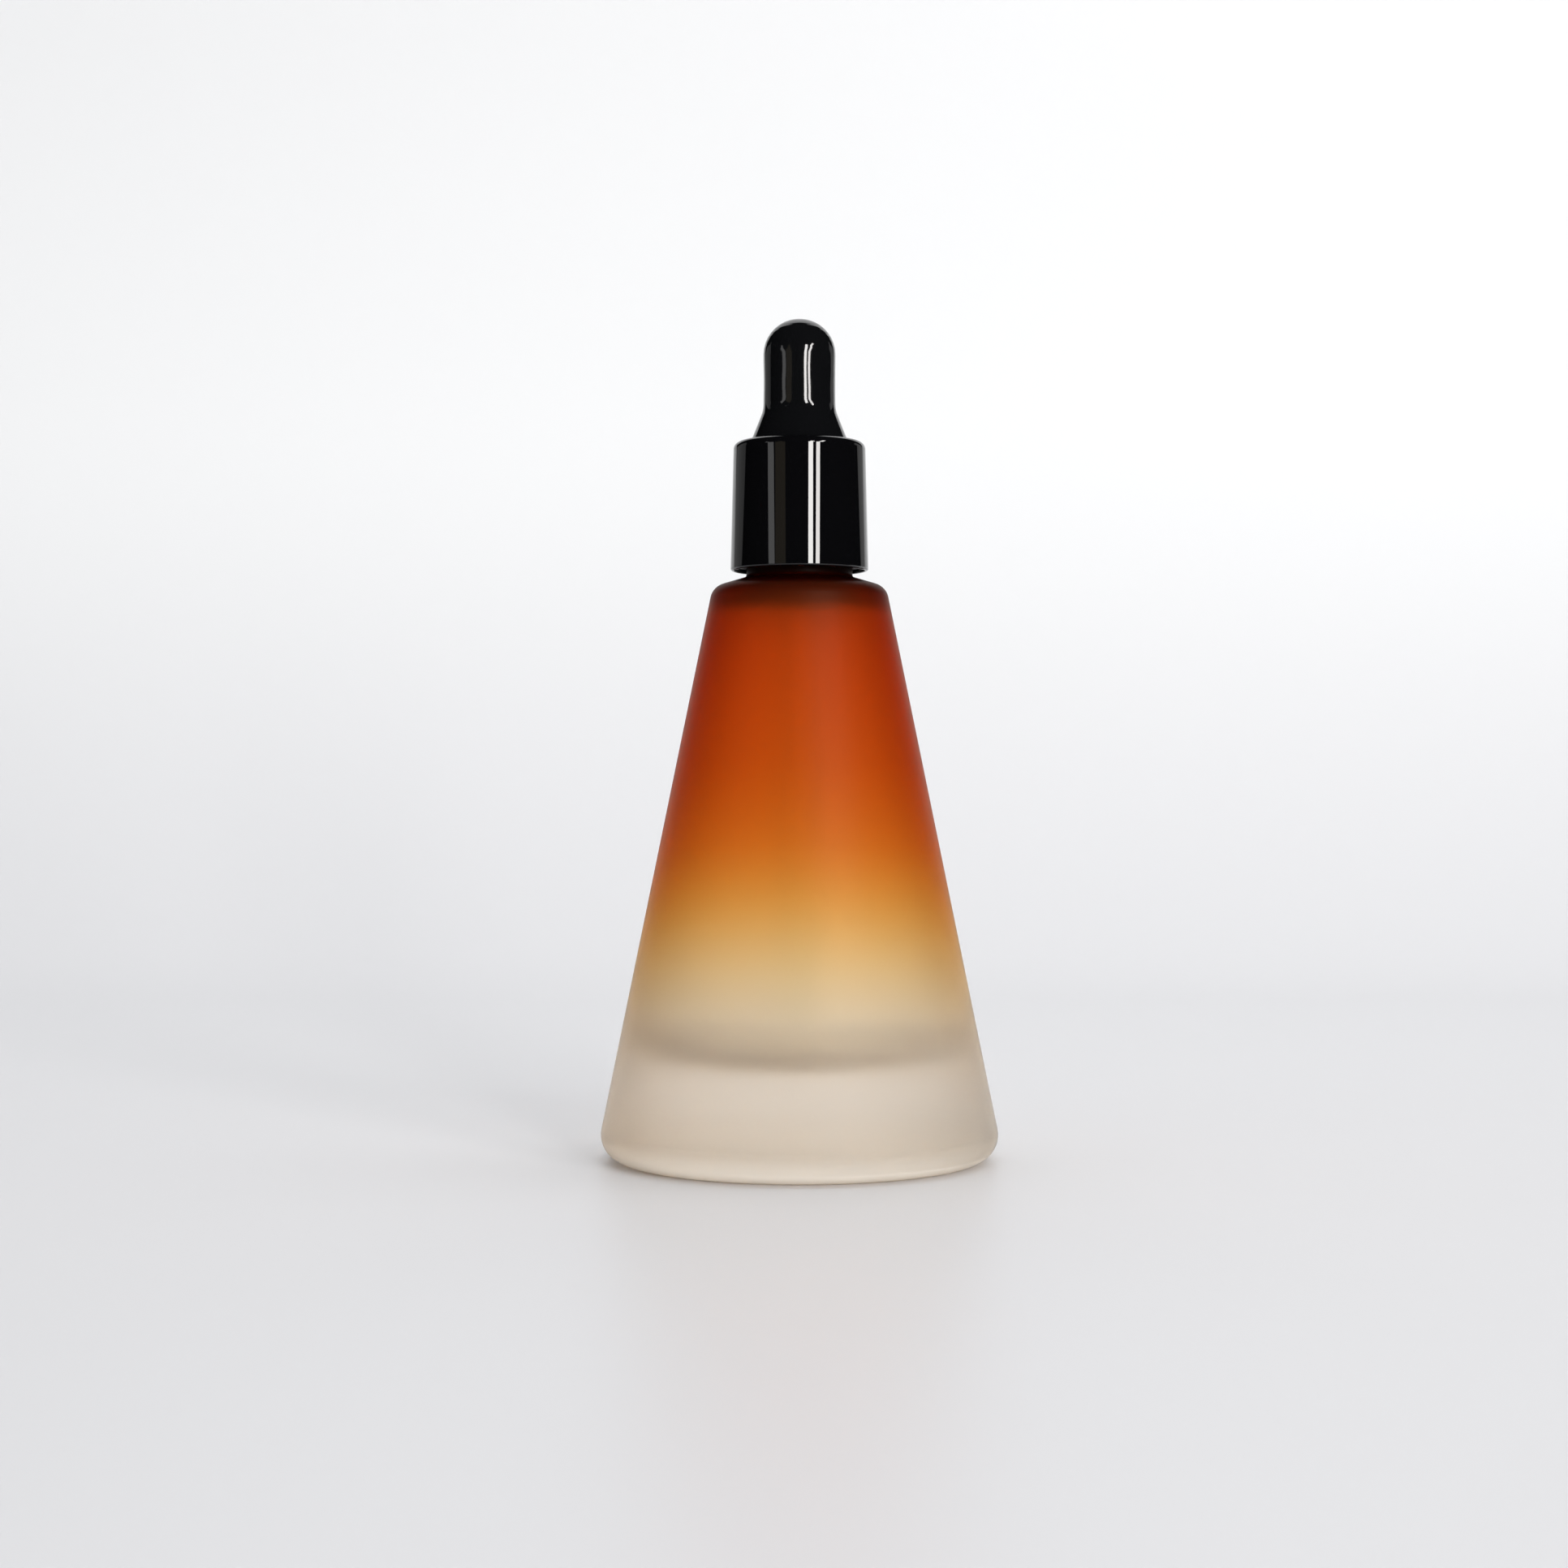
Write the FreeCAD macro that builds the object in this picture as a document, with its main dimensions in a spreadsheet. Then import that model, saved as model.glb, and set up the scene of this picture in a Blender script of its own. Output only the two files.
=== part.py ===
"""Conical glass dropper bottle: a heavy-based frosted flask, its neck wiper, and a screw-on rubber-bulb dropper.

Units are millimetres. The bottle stands on the XY plane with its axis on +Z, and the origin is the centre of
its foot. Every piece is a solid of revolution about that axis, and the neck and the cap also carry a
right-hand thread of the same pitch.
"""

import FreeCAD
import Part
import Sketcher

import math
import os
import re

# Driving dimensions: name, value, meaning.
SIZES = [
    # Glass bottle
    ("foot_radius", 30.0, "radius at which the straight side would meet the table"),
    ("shoulder_radius", 12.78, "radius at which the side would meet the shoulder"),
    ("foot_round", 3.8, "rounding where the side turns under the foot"),
    ("recess_radius", 20.0, "outer radius of the shallow recess under the foot"),
    ("recess_bevel", 3.0, "width of the recess's sloping edge"),
    ("recess_depth", 1.0, "depth of the recess under the foot"),
    ("floor_height", 13.8, "height of the flat floor inside the bottle"),
    ("floor_round", 7.0, "bowl rounding between the inner floor and the inner side"),
    ("glass_wall", 3.2, "glass thickness of the side, measured level"),
    ("shoulder_height", 85.5, "height at which the shoulder meets the neck"),
    ("shoulder_fall", 0.298, "height lost by the shoulder for each millimetre outwards"),
    ("shoulder_round", 2.5, "rounding between the side and the shoulder"),
    ("shoulder_wall", 3.0, "glass thickness of the shoulder, measured upright"),
    ("ceiling_round", 2.2, "rounding under the shoulder, inside the bottle"),
    ("throat_round", 1.5, "rounding at the lower end of the neck's bore"),
    ("neck_radius", 7.8, "outer radius of the neck between its threads"),
    ("neck_root_round", 0.5, "rounding where the neck meets the shoulder"),
    ("neck_length", 15.5, "height of the lip above the shoulder"),
    ("bore_radius", 5.2, "radius of the bore through the neck"),
    ("lip_round", 0.4, "rounding of the lip's edges"),
    # Thread shared by the neck and the cap
    ("thread_pitch", 3.175, "rise of the thread in one turn, 8 to the inch"),
    ("thread_turns", 1.5, "turns of full-height thread, and of unscrewing"),
    ("thread_fade", 0.12, "turns over which a thread's end sinks into its wall"),
    ("thread_height", 0.65, "height of the neck's thread above the neck"),
    ("thread_foot", 1.9, "width of a thread ridge at its root"),
    ("thread_crest", 0.8, "width of a thread ridge at its crest"),
    ("thread_round", 0.25, "rounding of a thread ridge's crest"),
    ("thread_start", 7.6, "height of the neck's thread above the shoulder, at its lower end"),
    ("thread_clearance", 0.12, "gap on the radius between the two threads' crests"),
    ("root_clearance", 0.5, "gap on the radius between the neck's crest and the cap's wall"),
    ("thread_sink", 0.2, "depth by which a ridge is rooted in its own wall"),
    # Neck wiper
    ("wiper_setback", 0.7, "distance of the wiper's flange inside the neck's outer wall"),
    ("wiper_flange", 0.7, "thickness of the wiper's flange"),
    ("wiper_wall", 0.7, "wall of the wiper's sleeve and lip"),
    ("wiper_length", 10.0, "depth of the wiper below the lip"),
    ("wiper_funnel", 3.0, "height of the wiper's narrowing end"),
    ("wiper_clearance", 0.1, "gap on the radius between the wiping lip and the pipette"),
    # Sealing washer
    ("washer_setback", 0.5, "distance of the washer's edge inside the neck's outer wall"),
    ("washer_thickness", 0.8, "thickness of the washer"),
    ("washer_clearance", 0.1, "gap on the radius between the washer and the pipette"),
    # Glass pipette
    ("pipette_radius", 3.5, "outer radius of the glass tube"),
    ("pipette_wall", 1.0, "wall of the glass tube"),
    ("pipette_lift", 5.8, "height of the tip above the bottle's inner floor"),
    ("tip_radius", 1.7, "outer radius of the tip"),
    ("tip_bore", 0.75, "radius of the hole in the tip"),
    ("tip_taper", 9.0, "length over which the tube draws down to its tip"),
    ("tip_round", 0.5, "fire-polished rounding of the tip's end"),
    ("draw_round", 8.0, "rounding where the tube starts to draw down"),
    ("head_bead", 0.7, "height of the bead that the bulb grips, above the tube"),
    ("head_height", 1.6, "length of that bead along the tube"),
    ("head_round", 0.45, "rounding of that bead"),
    # Rubber bulb
    ("bulb_radius", 5.3, "outer radius of the bulb"),
    ("bulb_wall", 1.2, "wall of the bulb"),
    ("bulb_crown", 1.5, "thickness of the bulb at its top"),
    ("bulb_reach", 18.1, "height of the bulb's top above the collar"),
    ("dome_flat", 0.1, "radius of the small flat at the top of the dome, inside and out"),
    ("flare_height", 4.75, "height of the bulb's flared foot above the collar"),
    ("flare_round", 4.5, "rounding where the foot flares out of the bulb"),
    ("flange_clearance", 0.55, "gap on the radius between the bulb's flange and the cap's wall"),
    ("flange_step", 1.2, "distance by which the bulb's flange stands out under the cap's top"),
    ("bulb_flange", 1.5, "thickness of the bulb's flange"),
    ("grip_clearance", 0.03, "gap between the bulb and the pipette's head and neck"),
    # Collar: a threaded cap pressed into a glossy shell
    ("collar_gap", 0.9, "height of the shell's lower edge above the shoulder's top"),
    ("cap_wall", 0.7, "wall of the threaded cap at the shell's lower edge"),
    ("collar_draft", 0.0245, "radius lost by the shell for each millimetre of height"),
    ("shell_wall", 0.5, "wall of the shell"),
    ("shell_plate", 0.5, "thickness of the shell's top"),
    ("shell_top_round", 1.1, "outer rounding of the shell's top edge"),
    ("shell_inner_round", 0.6, "inner rounding of the shell's top edge"),
    ("shell_rim_round", 0.35, "rounding of the shell's lower rim, outside"),
    ("shell_edge_round", 0.1, "rounding of the shell's other sharp edges"),
    ("cap_plate", 0.8, "thickness of the threaded cap's top"),
    ("cap_recess", 0.6, "height of the cap's lower edge above the shell's"),
    ("cap_rim_round", 0.15, "rounding of the cap's lower rim"),
    ("hole_clearance", 0.15, "gap on the radius between the bulb's foot and the collar's hole"),
    ("plate_clearance", 0.05, "gap between the bulb's flange and the cap's top"),
]

# Sizes that follow from the driving ones.
DERIVED = {
    "shoulder_corner_z": "shoulder_height - shoulder_fall * (shoulder_radius - neck_radius)",
    "side_taper": "(foot_radius - shoulder_radius) / shoulder_corner_z",
    "inner_foot_r": "foot_radius - glass_wall",
    "ceiling_z": "(shoulder_height - shoulder_wall - shoulder_fall * (inner_foot_r - bore_radius))"
    " / (1 - shoulder_fall * side_taper)",
    "ceiling_r": "inner_foot_r - side_taper * ceiling_z",
    "lip_z": "shoulder_height + neck_length",
    "crest_r": "neck_radius + thread_height",
    "neck_thread_z": "shoulder_height + thread_start",
    "wiper_end_z": "lip_z - wiper_length",
    "wiper_flange_r": "neck_radius - wiper_setback",
    "wiper_hole_r": "pipette_radius + wiper_clearance",
    "washer_r": "neck_radius - washer_setback",
    "washer_hole_r": "pipette_radius + washer_clearance",
    "seat_z": "lip_z + wiper_flange",
    "flange_z": "seat_z + washer_thickness",
    "tip_z": "floor_height + pipette_lift",
    "pipette_bore": "pipette_radius - pipette_wall",
    "cap_under_z": "flange_z + bulb_flange + plate_clearance",
    "cap_top_z": "cap_under_z + cap_plate",
    "collar_top_z": "cap_top_z + shell_plate",
    "collar_foot_z": "shoulder_height + collar_gap",
    "cap_bore_r": "crest_r + root_clearance",
    "shell_bore_r": "cap_bore_r + cap_wall",
    "collar_foot_r": "shell_bore_r + shell_wall",
    "collar_top_r": "collar_foot_r - collar_draft * (collar_top_z - collar_foot_z)",
    "hole_r": "flare_r + hole_clearance",
    "cap_foot_z": "collar_foot_z + cap_recess",
    "cap_foot_r": "shell_bore_r - collar_draft * cap_recess",
    "cap_top_r": "shell_bore_r - collar_draft * (cap_top_z - collar_foot_z)",
    "cap_crest_r": "crest_r + thread_clearance",
    "cap_thread_z": "neck_thread_z - thread_pitch / 2",
    "head_z": "flange_z + bulb_flange + grip_clearance",
    "head_r": "pipette_radius + head_bead",
    "pocket_r": "head_r + grip_clearance",
    "grip_r": "pipette_radius + grip_clearance",
    "bulb_top_z": "collar_top_z + bulb_reach",
    "bulb_bore_r": "bulb_radius - bulb_wall",
    "bulb_flange_r": "cap_bore_r - flange_clearance",
    "flare_r": "bulb_flange_r - flange_step",
}

NAME = re.compile(r"[a-z]\w*")
PARTS_FOLDER = "parts"

document = FreeCAD.newDocument("dropper_bottle")
sheet = document.addObject("Spreadsheet::Sheet", "Sizes")


def fill_sheet():
    """Writes one row for each driving dimension: its meaning, and its value under an alias."""
    for row, (alias, value, meaning) in enumerate(SIZES, start=1):
        sheet.set(f"A{row}", meaning)
        sheet.set(f"B{row}", str(value))
        sheet.setAlias(f"B{row}", alias)
    document.recompute()


def formula(text):
    """The sheet formula for a text of size names, with derived names written out in full."""

    def spell(match):
        name = match.group(0)
        if name in DERIVED:
            return f"({formula(DERIVED[name])})"
        return f"Sizes.{name}"

    return NAME.sub(spell, str(text))


def number(text):
    """The present value of a text of size names."""
    return float(sheet.evalExpression(formula(text)))


def origin_feature(body, role):
    """The plane or axis of the body's own origin that has this role."""
    return next(item for item in body.Origin.OriginFeatures if item.Role == role)


def corner_round(before, corner, after, radius):
    """The rounding of a corner between two points: where it starts and ends, and its arc.

    An arc runs anticlockwise, so the last value says whether it runs the same way as the outline.
    """
    to_before = (before - corner).normalize()
    to_after = (after - corner).normalize()
    half_angle = to_before.getAngle(to_after) / 2
    bisector = (to_before + to_after).normalize()
    start = corner + to_before * (radius / math.tan(half_angle))
    end = corner + to_after * (radius / math.tan(half_angle))
    centre = corner + bisector * (radius / math.sin(half_angle))
    anticlockwise = to_before.cross(to_after).z < 0
    first, last = (start, end) if anticlockwise else (end, start)
    angles = [math.atan2((p - centre).y, (p - centre).x) for p in (first, last)]
    circle = Part.Circle(centre, FreeCAD.Vector(0, 0, 1), radius)
    return start, end, Part.ArcOfCircle(circle, *angles), anticlockwise


def place_point(sketch, geometry, position, radius, height, label):
    """Ties one point of a sketch to its radius and height by formulas."""
    axes = (("DistanceX", -2, radius, "r"), ("DistanceY", -1, height, "z"))
    for kind, axis, text, letter in axes:
        if text == "0":
            sketch.addConstraint(Sketcher.Constraint("PointOnObject", geometry, position, axis))
            continue
        name = f"{letter}_{label}"
        made = sketch.addConstraint(
            Sketcher.Constraint(kind, -1, 1, geometry, position, number(text))
        )
        sketch.renameConstraint(made, name)
        sketch.setExpression(f"Constraints.{name}", formula(text))


def outline(body, name, corners, turned_by="0"):
    """A closed sketch on the body's XZ plane, which is first turned about Z by a share of a turn.

    Each corner is (radius, height) or (radius, height, rounding).
    """
    sketch = body.newObject("Sketcher::SketchObject", name)
    sketch.AttachmentSupport = [(origin_feature(body, "XZ_Plane"), "")]
    sketch.MapMode = "FlatFace"
    upright = FreeCAD.Vector(0, 1, 0)
    sketch.AttachmentOffset = FreeCAD.Placement(FreeCAD.Vector(), FreeCAD.Rotation(upright, 1))
    sketch.setExpression("AttachmentOffset.Rotation.Angle", f"({formula(turned_by)}) * 360 deg")
    count = len(corners)
    places = [FreeCAD.Vector(number(corner[0]), number(corner[1]), 0) for corner in corners]
    rounds = {}
    for i, corner in enumerate(corners):
        if len(corner) > 2:
            neighbours = (places[i - 1], places[i], places[(i + 1) % count])
            rounds[i] = corner_round(*neighbours, number(corner[2]))
    for i in range(count):
        start = rounds[i][1] if i in rounds else places[i]
        following = (i + 1) % count
        end = rounds[following][0] if following in rounds else places[following]
        sketch.addGeometry(Part.LineSegment(start, end), False)
    for i, corner in enumerate(corners):
        line_in = (i - 1) % count
        line_out = i
        if i not in rounds:
            sketch.addConstraint(Sketcher.Constraint("Coincident", line_in, 2, line_out, 1))
            place_point(sketch, line_out, 1, corner[0], corner[1], i)
            continue
        arc = sketch.addGeometry(rounds[i][2], False)
        arc_in, arc_out = (1, 2) if rounds[i][3] else (2, 1)
        sketch.addConstraint(Sketcher.Constraint("Tangent", line_in, 2, arc, arc_in))
        sketch.addConstraint(Sketcher.Constraint("Tangent", arc, arc_out, line_out, 1))
        made = sketch.addConstraint(Sketcher.Constraint("Radius", arc, number(corner[2])))
        sketch.renameConstraint(made, f"round_{i}")
        sketch.setExpression(f"Constraints.round_{i}", formula(corner[2]))
        point = sketch.addGeometry(Part.Point(places[i]), True)
        sketch.addConstraint(Sketcher.Constraint("PointOnObject", point, 1, line_in))
        sketch.addConstraint(Sketcher.Constraint("PointOnObject", point, 1, line_out))
        place_point(sketch, point, 1, corner[0], corner[1], i)
    return sketch


def turned_body(label, corners):
    """A body made by turning its outline once round the Z axis."""
    body = document.addObject("PartDesign::Body", label)
    body.Label = label
    sketch = outline(body, f"{label}_outline", corners)
    document.recompute()
    turning = body.newObject("PartDesign::Revolution", f"{label}_turning")
    turning.Profile = (sketch, [""])
    turning.ReferenceAxis = (origin_feature(body, "Z_Axis"), [""])
    turning.Angle = 360
    document.recompute()
    return body


def ridge(body, name, root_r, crest_r, foot_z, start, turns, growth="0", downwards=False):
    """Winds one stretch of a right-hand thread ridge on to a body.

    foot_z is the thread's height where it crosses the XZ plane. The stretch starts a number of turns
    above that, winds for some turns, up or down, and gains the growth in radius as it goes.
    """
    middle = f"({foot_z}) + ({start}) * thread_pitch"
    corners = [
        (root_r, f"{middle} - thread_foot / 2"),
        (crest_r, f"{middle} - thread_crest / 2", "thread_round"),
        (crest_r, f"{middle} + thread_crest / 2", "thread_round"),
        (root_r, f"{middle} + thread_foot / 2"),
    ]
    section = outline(body, f"{name}_section", corners, turned_by=start)
    document.recompute()
    helix = body.newObject("PartDesign::AdditiveHelix", name)
    helix.Profile = (section, [""])
    helix.ReferenceAxis = (origin_feature(body, "Z_Axis"), [""])
    helix.Mode = "height-turns-growth"
    helix.LeftHanded = False
    helix.Reversed = downwards
    helix.setExpression("Turns", formula(turns))
    helix.setExpression("Height", formula(f"({turns}) * thread_pitch"))
    helix.setExpression("Growth", formula(f"({growth}) / ({turns})"))
    document.recompute()


def glass_bottle():
    """The flask: a solid heavy base, a conical side, a sloping shoulder and a threaded neck."""
    body = turned_body(
        "glass_bottle",
        [
            ("0", "recess_depth"),
            ("recess_radius - recess_bevel", "recess_depth", "recess_bevel"),
            ("recess_radius", "0", "recess_depth"),
            ("foot_radius", "0", "foot_round"),
            ("shoulder_radius", "shoulder_corner_z", "shoulder_round"),
            ("neck_radius", "shoulder_height", "neck_root_round"),
            ("neck_radius", "lip_z", "lip_round"),
            ("bore_radius", "lip_z", "lip_round"),
            ("bore_radius", "shoulder_height - shoulder_wall", "throat_round"),
            ("ceiling_r", "ceiling_z", "ceiling_round"),
            ("inner_foot_r - side_taper * floor_height", "floor_height", "floor_round"),
            ("0", "floor_height"),
        ],
    )
    place = ("neck_radius - thread_sink", "crest_r", "neck_thread_z")
    ridge(body, "neck_thread", *place, "0", "thread_turns")
    sunk = "-(thread_height + thread_sink)"
    ridge(body, "neck_thread_lower_end", *place, "0", "thread_fade", sunk, downwards=True)
    ridge(body, "neck_thread_upper_end", *place, "thread_turns", "thread_fade", sunk)
    return body


def neck_wiper():
    """The soft plug in the neck, whose narrow lip strips the pipette as it is drawn out."""
    return turned_body(
        "neck_wiper",
        [
            ("wiper_hole_r", "wiper_end_z"),
            ("wiper_hole_r + wiper_wall", "wiper_end_z"),
            ("bore_radius", "wiper_end_z + wiper_funnel"),
            ("bore_radius", "lip_z"),
            ("wiper_flange_r", "lip_z"),
            ("wiper_flange_r", "seat_z"),
            ("bore_radius - wiper_wall", "seat_z"),
            ("bore_radius - wiper_wall", "wiper_end_z + wiper_funnel"),
        ],
    )


def sealing_washer():
    """The flat ring between the wiper's flange and the bulb's."""
    return turned_body(
        "sealing_washer",
        [
            ("washer_hole_r", "seat_z"),
            ("washer_r", "seat_z"),
            ("washer_r", "flange_z"),
            ("washer_hole_r", "flange_z"),
        ],
    )


def glass_pipette():
    """The glass tube: a bead at its head for the bulb to grip, and a drawn tip."""
    return turned_body(
        "glass_pipette",
        [
            ("tip_bore", "tip_z", "(tip_radius - tip_bore) / 3"),
            ("tip_radius", "tip_z", "tip_round"),
            ("pipette_radius", "tip_z + tip_taper", "draw_round"),
            ("pipette_radius", "head_z"),
            ("head_r", "head_z", "head_round"),
            ("head_r", "head_z + head_height", "head_round"),
            ("pipette_bore", "head_z + head_height", "head_round"),
            ("pipette_bore", "tip_z + tip_taper", "draw_round"),
        ],
    )


def rubber_bulb():
    """The squeeze bulb: a domed thin wall, a flared foot, and a flange that the cap clamps."""
    return turned_body(
        "rubber_bulb",
        [
            ("grip_r", "flange_z"),
            ("bulb_flange_r", "flange_z"),
            ("bulb_flange_r", "flange_z + bulb_flange"),
            ("flare_r", "flange_z + bulb_flange"),
            ("flare_r", "collar_top_z"),
            ("bulb_radius", "collar_top_z + flare_height", "flare_round"),
            ("bulb_radius", "bulb_top_z", "bulb_radius - dome_flat"),
            ("0", "bulb_top_z"),
            ("0", "bulb_top_z - bulb_crown"),
            ("bulb_bore_r", "bulb_top_z - bulb_crown", "bulb_bore_r - dome_flat"),
            ("bulb_bore_r", "head_z + head_height + grip_clearance"),
            ("pocket_r", "head_z + head_height + grip_clearance"),
            ("pocket_r", "head_z - grip_clearance"),
            ("grip_r", "head_z - grip_clearance"),
        ],
    )


def threaded_cap():
    """The inner cap that screws on the neck and presses the bulb's flange down on the washer."""
    body = turned_body(
        "threaded_cap",
        [
            ("cap_bore_r", "cap_foot_z", "cap_rim_round"),
            ("cap_foot_r", "cap_foot_z", "cap_rim_round"),
            ("cap_top_r", "cap_top_z", "shell_inner_round"),
            ("hole_r", "cap_top_z"),
            ("hole_r", "cap_under_z"),
            ("cap_bore_r", "cap_under_z"),
        ],
    )
    place = ("cap_bore_r + thread_sink", "cap_crest_r", "cap_thread_z")
    ridge(body, "cap_thread", *place, "0", "thread_turns")
    return body


def collar_shell():
    """The glossy outer shell, slightly narrower at its top, with a hole for the bulb's foot."""
    return turned_body(
        "collar_shell",
        [
            ("shell_bore_r", "collar_foot_z", "shell_edge_round"),
            ("collar_foot_r", "collar_foot_z", "shell_rim_round"),
            ("collar_top_r", "collar_top_z", "shell_top_round"),
            ("hole_r", "collar_top_z", "shell_edge_round"),
            ("hole_r", "cap_top_z"),
            ("cap_top_r", "cap_top_z", "shell_inner_round"),
        ],
    )


def check_and_write(pieces):
    """Stops at any failed object or bad solid, then writes each piece's STEP file."""
    for item in document.Objects:
        if {"Invalid", "Error"} & set(item.State):
            raise RuntimeError(f"{item.Name} failed: {item.State}")
    for piece in pieces:
        shape = piece.Shape
        if shape.isNull() or not shape.isValid() or len(shape.Solids) != 1:
            raise RuntimeError(f"{piece.Label} is not one valid solid")
    os.makedirs(PARTS_FOLDER, exist_ok=True)
    for piece in pieces:
        piece.Shape.exportStep(os.path.join(PARTS_FOLDER, f"{piece.Label}.step"))
        print(f"{piece.Label}: {piece.Shape.Volume:.1f} mm3")


def main():
    fill_sheet()
    pieces = [
        glass_bottle(),
        neck_wiper(),
        sealing_washer(),
        glass_pipette(),
        rubber_bulb(),
        threaded_cap(),
        collar_shell(),
    ]
    document.recompute()
    check_and_write(pieces)


main()
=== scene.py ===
"""Looks for the conical glass dropper bottle: frosted lacquered glass, black collar, black rubber bulb.

Everything is in metres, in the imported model's frame: +Z up, the bottle's foot on the floor at the origin.
"""

import math

import bpy
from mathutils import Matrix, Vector


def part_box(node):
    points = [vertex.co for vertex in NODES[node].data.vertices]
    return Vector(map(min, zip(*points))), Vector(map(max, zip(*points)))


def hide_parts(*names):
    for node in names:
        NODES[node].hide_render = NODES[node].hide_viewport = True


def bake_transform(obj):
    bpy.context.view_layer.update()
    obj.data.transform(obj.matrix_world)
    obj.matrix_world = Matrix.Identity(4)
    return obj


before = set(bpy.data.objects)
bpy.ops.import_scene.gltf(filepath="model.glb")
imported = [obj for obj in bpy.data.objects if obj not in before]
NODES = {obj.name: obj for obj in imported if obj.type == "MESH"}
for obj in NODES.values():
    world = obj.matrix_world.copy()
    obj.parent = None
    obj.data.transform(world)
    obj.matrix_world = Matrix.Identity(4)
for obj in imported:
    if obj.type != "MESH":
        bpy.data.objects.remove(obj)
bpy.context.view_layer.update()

MM = 0.001

_, SHELL_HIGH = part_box("collar_shell")
BULB_LOW, BULB_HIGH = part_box("rubber_bulb")

# The bottle's outline, as the design gives it.
FOOT_RADIUS = 30.0 * MM
SHOULDER_RADIUS = 12.78 * MM
SHOULDER_HEIGHT = 85.5 * MM
GLASS_WALL = 3.2 * MM
NECK_BORE = 5.2 * MM

# The straight side, which ends where the shoulder's rounding begins.
SIDE_TOP = 84.0 * MM

# The bulb's outside, above and inside the collar.
COLLAR_TOP = SHELL_HIGH.z
BULB_RADIUS = 5.3 * MM
DOME_FLAT = 0.1 * MM
FLARE_HEIGHT = 4.75 * MM
FLARE_RADIUS = 7.2 * MM
FLARE_ROUND = 4.5 * MM
FLARE_FOOT_ROUND = 0.4 * MM
FLANGE_THICKNESS = 1.5 * MM
FLANGE_ROUND = 0.15 * MM
FLANGE_CORNER_ROUND = 0.05 * MM
BARREL_FOOT = COLLAR_TOP + FLARE_HEIGHT
DOME_FOOT = BULB_HIGH.z - BULB_RADIUS


# ---------------------------------------------------------------- node helpers


class Nodes:
    """A small helper that adds nodes to one material and links them in order."""

    def __init__(self, name):
        self.material = bpy.data.materials.new(name)
        self.material.use_nodes = True
        self.tree = self.material.node_tree
        self.tree.nodes.clear()
        self.output = self.add("ShaderNodeOutputMaterial")
        self.shader = self.add("ShaderNodeBsdfPrincipled")
        self.link(self.shader.outputs["BSDF"], self.output.inputs["Surface"])
        coordinates = self.add("ShaderNodeTexCoord")
        self.place = coordinates.outputs["Object"]

    def add(self, kind, **settings):
        node = self.tree.nodes.new(kind)
        for key, value in settings.items():
            setattr(node, key, value)
        return node

    def link(self, source, target):
        self.tree.links.new(source, target)

    def set(self, socket, value):
        """Feeds a shader socket with a number, a colour or another node's output."""
        self.feed(self.shader.inputs[socket], value)

    def feed(self, socket, value):
        if isinstance(value, bpy.types.NodeSocket):
            self.link(value, socket)
        else:
            socket.default_value = value

    def math(self, operation, *values):
        node = self.add("ShaderNodeMath", operation=operation)
        for socket, value in zip(node.inputs, values):
            self.feed(socket, value)
        return node.outputs[0]

    def split(self):
        node = self.add("ShaderNodeSeparateXYZ")
        self.link(self.place, node.inputs[0])
        return node.outputs["X"], node.outputs["Y"], node.outputs["Z"]

    def radius(self):
        """Distance from the Z axis."""
        x, y, _ = self.split()
        squares = self.math("ADD", self.math("MULTIPLY", x, x), self.math("MULTIPLY", y, y))
        return self.math("SQRT", squares)

    def ramp(self, value, stops, interpolation="EASE"):
        node = self.add("ShaderNodeValToRGB")
        node.color_ramp.interpolation = interpolation
        elements = node.color_ramp.elements
        while len(elements) < len(stops):
            elements.new(0.5)
        for element, (position, colour) in zip(elements, stops):
            element.position = position
            element.color = (*colour, 1.0)
        self.feed(node.inputs["Fac"], value)
        return node.outputs["Color"]

    def span(self, value, low, high, out_low=0.0, out_high=1.0):
        """A value between low and high, taken in a straight line to out_low and out_high."""
        node = self.add("ShaderNodeMapRange", clamp=True)
        ends = {"From Min": low, "From Max": high, "To Min": out_low, "To Max": out_high}
        for name, number in ends.items():
            self.feed(node.inputs[name], number)
        self.feed(node.inputs["Value"], value)
        return node.outputs["Result"]

    def noise(self, scale, detail=3.0):
        node = self.add("ShaderNodeTexNoise")
        node.inputs["Scale"].default_value = scale
        node.inputs["Detail"].default_value = detail
        self.link(self.place, node.inputs["Vector"])
        return node.outputs["Fac"]

    def specks(self, cells_per_metre, size, share):
        """Sparse round dust specks: 1 inside a speck and 0 elsewhere."""
        node = self.add("ShaderNodeTexVoronoi", feature="F1")
        node.inputs["Scale"].default_value = cells_per_metre
        self.link(self.place, node.inputs["Vector"])
        near = self.math("LESS_THAN", node.outputs["Distance"], size)
        channels = self.add("ShaderNodeSeparateColor")
        self.link(node.outputs["Color"], channels.inputs["Color"])
        chosen = self.math("LESS_THAN", channels.outputs["Red"], share)
        return self.math("MULTIPLY", near, chosen)

    def mix(self, factor, a, b):
        node = self.add("ShaderNodeMix", data_type="RGBA")
        self.feed(node.inputs["Factor"], factor)
        for socket, value in ((node.inputs[6], a), (node.inputs[7], b)):
            self.feed(socket, value if isinstance(value, bpy.types.NodeSocket) else (*value, 1.0))
        return node.outputs[2]

    def bump(self, height, distance, strength):
        node = self.add("ShaderNodeBump")
        node.inputs["Strength"].default_value = strength
        node.inputs["Distance"].default_value = distance
        self.link(height, node.inputs["Height"])
        self.link(node.outputs["Normal"], self.shader.inputs["Normal"])


# ------------------------------------------------------------------- materials


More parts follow.
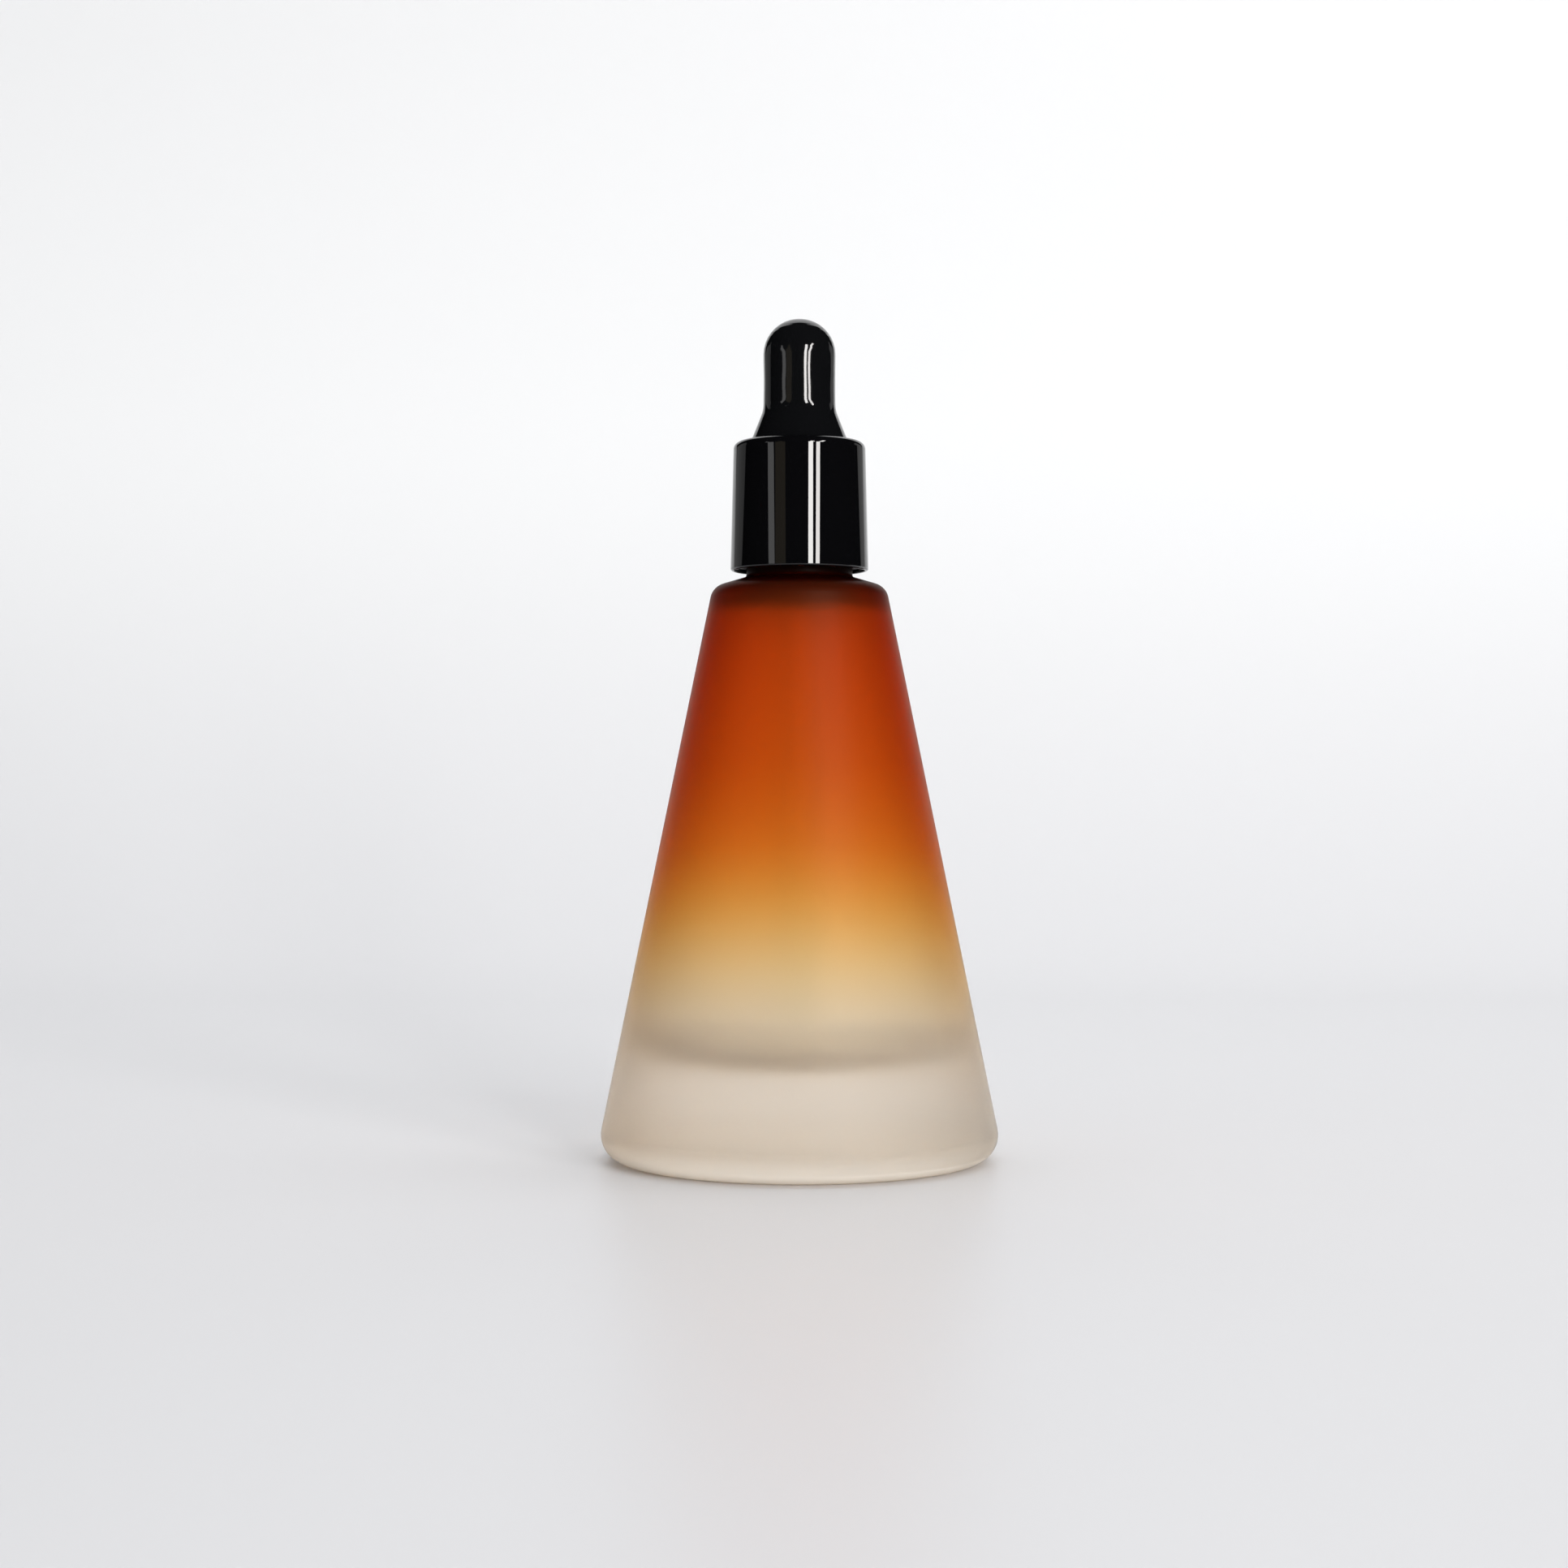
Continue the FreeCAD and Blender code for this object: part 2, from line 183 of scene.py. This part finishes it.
# The lacquer's colour, by the share of the shoulder's height: bare at the foot, through amber and orange to
# brick red, then nearly black round the shoulder and the neck: partly a denser spray, partly painted shade
# of the collar.
LACQUER_AND_PAINTED_SHADE = [
    (0.00, (1.00, 0.965, 0.905)),
    (0.12, (1.00, 0.970, 0.925)),
    (0.24, (1.00, 0.90, 0.77)),
    (0.34, (1.00, 0.81, 0.50)),
    (0.44, (0.97, 0.60, 0.19)),
    (0.54, (0.91, 0.36, 0.060)),
    (0.68, (0.81, 0.24, 0.028)),
    (0.93, (0.76, 0.17, 0.022)),
    (0.97, (0.26, 0.050, 0.014)),
    (1.00, (0.03, 0.012, 0.008)),
]
LACQUER_DRIFT = 4.0 * MM
BARE_GLASS = (0.97, 0.98, 0.97)
INSIDE_ROUGHNESS = 0.14
UNDERSIDE_HEIGHT = 1.5 * MM


def outside_masks(made, height):
    """Where the bottle's frosted outside is, with the underside also by itself."""
    side_radius = made.span(height, 0.0, SIDE_TOP, FOOT_RADIUS, SHOULDER_RADIUS)
    depth = made.math("SUBTRACT", side_radius, made.radius())
    outside_body = made.math("LESS_THAN", depth, GLASS_WALL / 2)
    on_neck = made.math("GREATER_THAN", height, SIDE_TOP - 1.4 * MM)
    outside_neck = made.math("GREATER_THAN", made.radius(), NECK_BORE + 1.0 * MM)
    underside = made.math("LESS_THAN", height, UNDERSIDE_HEIGHT)
    outside = made.math("MAXIMUM", outside_body, made.math("MULTIPLY", on_neck, outside_neck))
    return made.math("MAXIMUM", outside, underside), underside


def frosted_glass():
    """Acid-frosted glass with a sprayed lacquer that fades from brick red at the shoulder to bare glass,
    and painted shade of the collar that makes the shoulder's top nearly black.
    """
    made = Nodes("frosted_glass_look")
    _, _, height = made.split()
    drift = made.math("MULTIPLY", made.math("SUBTRACT", made.noise(18.0, detail=2.0), 0.5), LACQUER_DRIFT)
    share = made.span(made.math("ADD", height, drift), 0.0, SHOULDER_HEIGHT)
    # the ramp's nearly black top is painted shade from the collar above, over the spray's deepest red
    lacquer_and_shade = made.ramp(share, LACQUER_AND_PAINTED_SHADE, "B_SPLINE")
    outside, underside = outside_masks(made, height)
    film_and_shade = made.mix(outside, BARE_GLASS, lacquer_and_shade)
    made.set("Base Color", film_and_shade)
    # the same film again as a tinted coat, which takes more light where it is crossed at a slant
    coat_tint = made.add("ShaderNodeGamma")
    made.link(film_and_shade, coat_tint.inputs["Color"])
    coat_tint.inputs["Gamma"].default_value = 0.4
    made.set("Coat Weight", 1.0)
    made.set("Coat IOR", 1.1)
    made.set("Coat Roughness", 0.4)
    made.set("Coat Tint", coat_tint.outputs["Color"])
    grain = made.noise(2600.0, detail=2.0)
    frost = made.span(grain, 0.3, 0.7, 0.46, 0.54)
    made.set("Roughness", made.math("MAXIMUM", made.math("MULTIPLY", outside, frost), INSIDE_ROUGHNESS))
    milky = made.math("ADD", made.math("MULTIPLY", outside, 0.16), made.math("MULTIPLY", underside, 0.35))
    made.set("Transmission Weight", made.math("SUBTRACT", 1.0, milky))
    made.set("IOR", 1.5)
    made.set("Specular Tint", (0.2, 0.19, 0.18, 1.0))
    made.bump(made.math("MULTIPLY", grain, outside), 0.01 * MM, 0.4)
    depth_tint = made.add("ShaderNodeVolumeAbsorption")
    depth_tint.inputs["Color"].default_value = (0.78, 0.54, 0.25, 1.0)
    depth_tint.inputs["Density"].default_value = 2.0
    made.link(depth_tint.outputs["Volume"], made.output.inputs["Volume"])
    return made.material


def clear_glass():
    """The pipette's clear glass, with faint water marks."""
    made = Nodes("clear_glass_look")
    water_marks = made.noise(220.0, detail=4.0)
    made.set("Base Color", (0.96, 0.98, 0.975, 1.0))
    made.set("Roughness", made.span(water_marks, 0.45, 0.75, 0.01, 0.06))
    made.set("Transmission Weight", 1.0)
    made.set("IOR", 1.5)
    return made.material


def gloss_black():
    """Near mirror gloss with the faint ripple of a moulded wall, and a little dust."""
    made = Nodes("collar_gloss_look")
    dust = made.specks(420.0, 0.06, 0.035)
    made.set("Base Color", made.mix(dust, (0.0025, 0.0025, 0.003), (0.10, 0.09, 0.08)))
    gloss = made.span(made.noise(160.0, detail=4.0), 0.35, 0.75, 0.012, 0.03)
    made.set("Roughness", made.math("ADD", gloss, made.math("MULTIPLY", dust, 0.4)))
    made.set("IOR", 1.5)
    made.bump(made.noise(70.0, detail=1.0), 0.04 * MM, 0.15)
    return made.material


def black_rubber():
    """Smooth glossy black rubber with a little dust."""
    made = Nodes("bulb_rubber_look")
    dust = made.specks(500.0, 0.05, 0.03)
    made.set("Base Color", made.mix(dust, (0.004, 0.0042, 0.0048), (0.06, 0.06, 0.055)))
    skin = made.noise(900.0)
    made.set("Roughness", made.span(skin, 0.3, 0.7, 0.05, 0.08))
    made.set("IOR", 1.5)
    made.bump(skin, 0.01 * MM, 0.25)
    return made.material


def cap_plastic():
    """Matt black moulded plastic."""
    made = Nodes("cap_plastic_look")
    grain = made.noise(700.0)
    made.set("Base Color", made.mix(grain, (0.010, 0.010, 0.011), (0.018, 0.018, 0.019)))
    made.set("Roughness", made.span(grain, 0.3, 0.7, 0.32, 0.42))
    made.bump(grain, 0.01 * MM, 0.3)
    return made.material


def natural_plastic():
    """Undyed milky plastic, as of the wiper and the washer."""
    made = Nodes("natural_plastic_look")
    cloud = made.noise(260.0)
    made.set("Base Color", made.mix(cloud, (0.80, 0.81, 0.78), (0.88, 0.88, 0.86)))
    made.set("Roughness", made.span(cloud, 0.3, 0.7, 0.34, 0.45))
    made.set("Transmission Weight", 0.25)
    made.bump(cloud, 0.02 * MM, 0.3)
    return made.material


def dress_nodes():
    """Gives every node that stays visible its material."""
    plastic = natural_plastic()
    looks = {
        "glass_bottle": frosted_glass(),
        "glass_pipette": clear_glass(),
        "collar_shell": gloss_black(),
        "threaded_cap": cap_plastic(),
        "neck_wiper": plastic,
        "sealing_washer": plastic,
    }
    for node, material in looks.items():
        for slot in NODES[node].material_slots:
            slot.material = material


# ------------------------------------------------------------------------ bulb


def rounded(corners, steps=10):
    """The points of an open outline whose corners are (radius, height, rounding), in metres."""
    points = []
    for i, (r, z, rounding) in enumerate(corners):
        corner = Vector((r, z))
        if not rounding:
            points.append(corner)
            continue
        before = (Vector(corners[i - 1][:2]) - corner).normalized()
        after = (Vector(corners[i + 1][:2]) - corner).normalized()
        half = before.angle(after) / 2
        centre = corner + (before + after).normalized() * (rounding / math.sin(half))
        start = corner + before * (rounding / math.tan(half)) - centre
        sweep = math.pi - 2 * half
        turn = 1 if before.x * after.y - before.y * after.x < 0 else -1
        for step in range(steps + 1):
            angle = turn * sweep * step / steps
            cosine, sine = math.cos(angle), math.sin(angle)
            arm = Vector((start.x * cosine - start.y * sine, start.x * sine + start.y * cosine))
            points.append(centre + arm)
    return points


def spaced(points, longest):
    """The same outline with extra points, so that no step is longer than this."""
    out = [points[0]]
    for a, b in zip(points, points[1:]):
        parts = max(1, math.ceil((b - a).length / longest))
        out.extend(a.lerp(b, part / parts) for part in range(1, parts + 1))
    return out


def lathe(name, outline, segments, inset):
    """A closed mesh made by turning an outline that starts and ends on the Z axis.

    inset(angle, point) says how far the wall stands in from the outline there.
    """
    rings = [p for p in outline if p.x > 1e-7]
    vertices = [(0, 0, outline[0].y), (0, 0, outline[-1].y)]
    for p in rings:
        for s in range(segments):
            angle = 2 * math.pi * s / segments
            r = p.x - inset(angle, p)
            vertices.append((r * math.cos(angle), r * math.sin(angle), p.y))
    faces = []
    for s in range(segments):
        following = (s + 1) % segments
        faces.append((0, 2 + following, 2 + s))
        for ring in range(len(rings) - 1):
            a = 2 + ring * segments
            b = a + segments
            faces.append((a + s, a + following, b + following, b + s))
        last = 2 + (len(rings) - 1) * segments
        faces.append((1, last + s, last + following))
    mesh = bpy.data.meshes.new(name)
    mesh.from_pydata(vertices, [], faces)
    mesh.validate()
    mesh.shade_smooth()
    piece = bpy.data.objects.new(name, mesh)
    bpy.context.scene.collection.objects.link(piece)
    return piece


def bulb_corners():
    """The bulb's outside, from the flange that the collar clamps, up the flare and barrel to the dome."""
    flange_low, flange_high = BULB_LOW.z, BULB_LOW.z + FLANGE_THICKNESS
    return [
        (0, flange_low, 0),
        (BULB_HIGH.x, flange_low, FLANGE_ROUND),
        (BULB_HIGH.x, flange_high, FLANGE_ROUND),
        (FLARE_RADIUS, flange_high, FLANGE_CORNER_ROUND),
        (FLARE_RADIUS, COLLAR_TOP, FLARE_FOOT_ROUND),
        (BULB_RADIUS, BARREL_FOOT, FLARE_ROUND),
        (BULB_RADIUS, BULB_HIGH.z, BULB_RADIUS - DOME_FLAT),
        (0, BULB_HIGH.z, 0),
    ]


def dent(angle, point):
    """How far the barrel's wall stands in from true: the slight hollows that squeezing leaves in it."""
    share = (point.y - BARREL_FOOT) / (DOME_FOOT - BARREL_FOOT)
    if not 0 < share < 1:
        return 0.0
    fade = math.sin(math.pi * share) ** 2
    return fade * (0.03 + 0.02 * math.cos(2 * angle + 1.2) + 0.006 * math.cos(5 * angle + 6 * share)) * MM


def make_bulb():
    """The bulb's skin, closed from the flange's underside to the dome."""
    points = spaced(rounded(bulb_corners()), 0.35 * MM)
    piece = lathe("bulb_skin", points, segments=192, inset=dent)
    piece.data.materials.append(black_rubber())
    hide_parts("rubber_bulb")
    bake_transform(piece)


# ----------------------------------------------------------------------- stage


FLOOR_REACH = 2.6
SWEEP_START = 0.30
SWEEP_RADIUS = 0.35
SWEEP_STEPS = 32
BACKDROP_TOP = 1.6
BACKDROP_HALF_WIDTH = 0.48
FLOOR_STEP_DOWN = 0.002  # the floor behind the sweep's start lies this far under it
# Painted light: the paper has a darker, shaded tone where it lies flat and a lighter, lit tone up the wall,
# blended over this height.
PAINTED_LIGHT_FADE_HEIGHT = 0.2
PAPER_SHADED_FLOOR = (0.735, 0.735, 0.75)
PAPER_LIT_WALL = (0.88, 0.885, 0.89)


def backdrop_paper():
    """Pale paper, darker where it lies flat and lighter up the wall: painted shade and light for the wall
    catching more light than the floor.
    """
    paper = Nodes("backdrop_paper")
    _, _, height = paper.split()
    fade = paper.span(height, 0.0, PAINTED_LIGHT_FADE_HEIGHT)
    paper.set("Base Color", paper.ramp(fade, [(0, PAPER_SHADED_FLOOR), (1, PAPER_LIT_WALL)]))
    paper.set("Roughness", 0.42)
    paper.set("Specular IOR Level", 0.35)
    return paper.material


def sheet(name, profile, half_width, material):
    """A flat or swept sheet across the stage, from its (y, z) profile."""
    vertices = [(side * half_width, y, z) for y, z in profile for side in (-1, 1)]
    faces = [(2 * i, 2 * i + 1, 2 * i + 3, 2 * i + 2) for i in range(len(profile) - 1)]
    mesh = bpy.data.meshes.new(name)
    mesh.from_pydata(vertices, [], faces)
    mesh.materials.append(material)
    made = bpy.data.objects.new(name, mesh)
    bpy.context.scene.collection.objects.link(made)
    return made


def stage():
    """A wide pale floor, and a paper backdrop that rises from it in a sweep behind the bottle."""
    paper = backdrop_paper()
    sweep = [(SWEEP_START, 0.0)]
    for step in range(1, SWEEP_STEPS + 1):
        angle = math.pi / 2 * step / SWEEP_STEPS
        sweep.append((SWEEP_START + SWEEP_RADIUS * math.sin(angle), SWEEP_RADIUS * (1 - math.cos(angle))))
    sweep.append((SWEEP_START + SWEEP_RADIUS, BACKDROP_TOP))
    ground = [
        (-FLOOR_REACH, 0.0),
        (SWEEP_START, 0.0),
        (SWEEP_START + 0.01, -FLOOR_STEP_DOWN),
        (FLOOR_REACH, -FLOOR_STEP_DOWN),
    ]
    sheet("floor", ground, FLOOR_REACH, paper)
    wall = sheet("backdrop", sweep, BACKDROP_HALF_WIDTH, paper)
    wall.data.shade_smooth()


def around(azimuth, distance, height):
    """A point at an azimuth, in degrees to the right of the line from the bottle to the camera."""
    angle = math.radians(azimuth)
    return Vector((distance * math.sin(angle), -distance * math.cos(angle), height))


def panel_light(name, place, aim, width, tall, radiance, colour=(1, 1, 1)):
    """A flat lamp of one radiance, which the camera doesn't see."""
    light = bpy.data.lights.new(name, "AREA")
    light.shape = "RECTANGLE"
    light.size = width
    light.size_y = tall
    light.energy = radiance * math.pi * width * tall
    light.color = colour
    lamp = bpy.data.objects.new(name, light)
    lamp.location = place
    lamp.rotation_euler = (aim - place).to_track_quat("-Z", "Z").to_euler()
    lamp.visible_camera = False
    bpy.context.scene.collection.objects.link(lamp)
    return lamp


def soft_world():
    """Even light from all sides, which gloss doesn't mirror, so that the black pieces stay black."""
    world = bpy.data.worlds.new("studio")
    bpy.context.scene.world = world
    world.use_nodes = True
    background = world.node_tree.nodes["Background"]
    background.inputs["Color"].default_value = (0.93, 0.95, 0.97, 1.0)
    background.inputs["Strength"].default_value = 0.5
    world.cycles_visibility.glossy = False


# Upright panels round the bottle, which the gloss mirrors as strips: name, azimuth in degrees, distance,
# height of the middle, width, height, radiance, colour.
PANELS = [
    ("window", 19.7, 1.3, 0.36, 0.17, 0.56, 21.0, (1, 0.98, 0.96)),
    ("side_window", 36.2, 1.3, 0.46, 0.13, 0.76, 19.0, (1, 0.97, 0.95)),
    ("left_card", -127, 0.9, 0.20, 0.30, 0.70, 0.3, (1, 1, 1)),
    ("right_card", 133, 0.9, 0.20, 0.22, 0.70, 0.4, (1, 1, 1)),
    ("far_wall", -52, 1.3, 0.34, 0.16, 0.60, 1.5, (1, 1, 1)),
    ("dim_wall", -33, 1.3, 0.30, 0.34, 0.50, 0.26, (1, 0.85, 0.6)),
]


def lights():
    """The even world, a soft box over the backdrop, and the panels."""
    soft_world()
    softbox = panel_light("top_softbox", Vector((0.15, 0.2, 1.2)), Vector((0, 0.62, 0.2)), 1.4, 0.6, 2.35)
    softbox.visible_glossy = False
    middle = Vector((0, 0, 0.08))
    for name, azimuth, distance, height, width, tall, radiance, colour in PANELS:
        panel_light(name, around(azimuth, distance, height), middle, width, tall, radiance, colour)


# ---------------------------------------------------------------------- camera


CAMERA_DISTANCE = 392.3 * MM
CAMERA_HEIGHT = 55.1 * MM
CAMERA_LEFT = 2.27 * MM
SENSOR = 36.0
LENS = 61.23


def camera():
    """A level camera in front of the bottle, at a little under half its height."""
    data = bpy.data.cameras.new("camera")
    data.sensor_width = SENSOR
    data.lens = LENS
    data.clip_start = 0.01
    data.clip_end = 50
    made = bpy.data.objects.new("camera", data)
    made.location = (-CAMERA_LEFT, -CAMERA_DISTANCE, CAMERA_HEIGHT)
    made.rotation_euler = (math.radians(90), 0, 0)
    bpy.context.scene.collection.objects.link(made)
    bpy.context.scene.camera = made


# ------------------------------------------------------------------------ main


dress_nodes()
make_bulb()
stage()
lights()
camera()
bpy.context.scene.view_settings.view_transform = "Standard"
